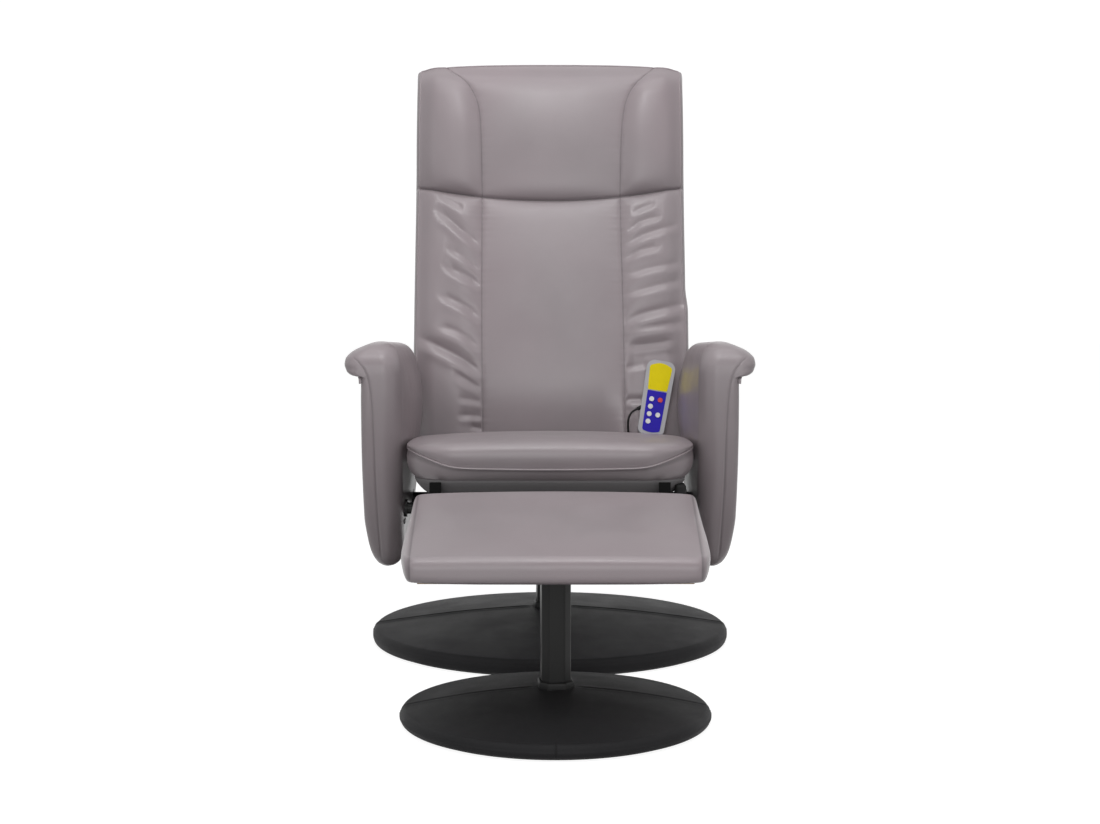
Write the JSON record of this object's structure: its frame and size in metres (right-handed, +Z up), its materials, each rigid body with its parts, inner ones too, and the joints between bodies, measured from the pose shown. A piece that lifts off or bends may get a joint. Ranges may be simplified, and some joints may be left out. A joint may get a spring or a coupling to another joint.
{
  "type": "massage recliner with footstool",
  "caption": "Upholstered swivel recliner on a round base with a corded hand control for its massage unit, and a matching wedge footstool on its own base.",
  "frame": {"origin": "on the floor, on the chair's swivel axis", "axes": "+Z up, -Y the way the chair faces, +X to the sitter's left"},
  "size_m": [0.68, 1.25, 1.0531],
  "materials": {
    "upholstery": "semi-gloss",
    "base_leather": "satin",
    "satin_black": "satin",
    "steel": "zinc plated",
    "board": "raw board",
    "rubber": "matt",
    "black_plastic": "matt",
    "tray": "matt cover cloth",
    "handset_grey": "fine texture",
    "circuit_green": "lacquer",
    "label_yellow": "printed film",
    "label_blue": "printed film",
    "button_white": "moulded",
    "button_red": "moulded"
  },
  "bodies": {
    "chair_base": {"chair_base_foot": "rubber", "chair_base_board": "board", "chair_base_cover": "base_leather", "chair_flange_bolts": "steel", "chair_column": "satin_black", "chair_column_collar": "black_plastic", "swivel_bushes": "black_plastic"},
    "seat_frame": {"spindle": "steel", "swivel_plate": "satin_black", "seat_rails": "satin_black", "arm_tubes": "satin_black", "arm_screws": "satin_black", "right_arm_pad": "upholstery", "left_arm_pad": "upholstery", "arm_boards": "board", "seat_tray": "tray", "seat_board": "board", "seat_motors": "black_plastic", "seat_cushion": "upholstery", "hinge_plates": "satin_black", "recline_locks": "satin_black", "hinge_pins": "steel", "hinge_bolts": "steel", "lock_wires": "rubber"},
    "recline_release": {"release_rod": "satin_black", "release_lever": "satin_black", "lever_grip": "rubber"},
    "backrest": {"back_board": "board", "rear_shell": "upholstery", "hinge_arms": "satin_black", "hinge_arm_screws": "steel", "head_cushion": "upholstery", "back_motors": "black_plastic", "cord_grommet": "rubber", "back_cushion": "upholstery", "control_box": "black_plastic", "power_inlet": "black_plastic", "cord_relief": "rubber", "handset_front_shell": "handset_grey", "handset_rear_shell": "handset_grey", "handset_circuit": "circuit_green", "handset_upper_label": "label_yellow", "handset_lower_label": "label_blue", "handset_cord": "rubber"},
    "footstool": {"footstool_base_foot": "rubber", "footstool_base_board": "board", "footstool_base_cover": "base_leather", "footstool_flange_bolts": "steel", "footstool_column": "satin_black", "footstool_column_collar": "black_plastic", "footstool_top_plate": "satin_black", "footstool_plate_bolts": "steel", "footstool_board": "board", "footstool_cushion": "upholstery"},
    "button_1": {"handset_button_1": "button_white"},
    "button_2": {"handset_button_2": "button_red"},
    "button_3": {"handset_button_3": "button_white"},
    "button_4": {"handset_button_4": "button_white"},
    "button_5": {"handset_button_5": "button_white"},
    "button_6": {"handset_button_6": "button_white"}
  },
  "joints": [
    {"name": "swivel", "type": "hinge", "parent": "chair_base", "child": "seat_frame", "pos_m": [0, 0, 0.238], "axis": [0, 0, 1], "continuous": true},
    {"name": "recline", "type": "hinge", "parent": "seat_frame", "child": "backrest", "pos_m": [0, 0.23675, 0.30238], "axis": [-1, 0, 0], "range_deg": [0, 35]},
    {"name": "release", "type": "hinge", "parent": "seat_frame", "child": "recline_release", "pos_m": [0, -0.165, 0.272], "axis": [1, 0, 0], "range_deg": [0, 20], "stiffness_Nm_per_rad": 4, "springref_deg": -6.88},
    {"name": "footstool_move", "type": "slide", "parent": "chair_base", "child": "footstool", "axis": [0, 1, 0], "range_m": [-0.5, 0.03]},
    {"name": "button_1_press", "type": "slide", "parent": "backrest", "child": "button_1", "axis": [0, 0.9703, -0.2419], "range_m": [0, 0.001], "stiffness_N_per_m": 900, "springref_m": -0.0008},
    {"name": "button_2_press", "type": "slide", "parent": "backrest", "child": "button_2", "axis": [0, 0.9703, -0.2419], "range_m": [0, 0.001], "stiffness_N_per_m": 900, "springref_m": -0.0008},
    {"name": "button_3_press", "type": "slide", "parent": "backrest", "child": "button_3", "axis": [0, 0.9703, -0.2419], "range_m": [0, 0.001], "stiffness_N_per_m": 900, "springref_m": -0.0008},
    {"name": "button_4_press", "type": "slide", "parent": "backrest", "child": "button_4", "axis": [0, 0.9703, -0.2419], "range_m": [0, 0.001], "stiffness_N_per_m": 900, "springref_m": -0.0008},
    {"name": "button_5_press", "type": "slide", "parent": "backrest", "child": "button_5", "axis": [0, 0.9703, -0.2419], "range_m": [0, 0.001], "stiffness_N_per_m": 900, "springref_m": -0.0008},
    {"name": "button_6_press", "type": "slide", "parent": "backrest", "child": "button_6", "axis": [0, 0.9703, -0.2419], "range_m": [0, 0.001], "stiffness_N_per_m": 900, "springref_m": -0.0008}
  ]
}
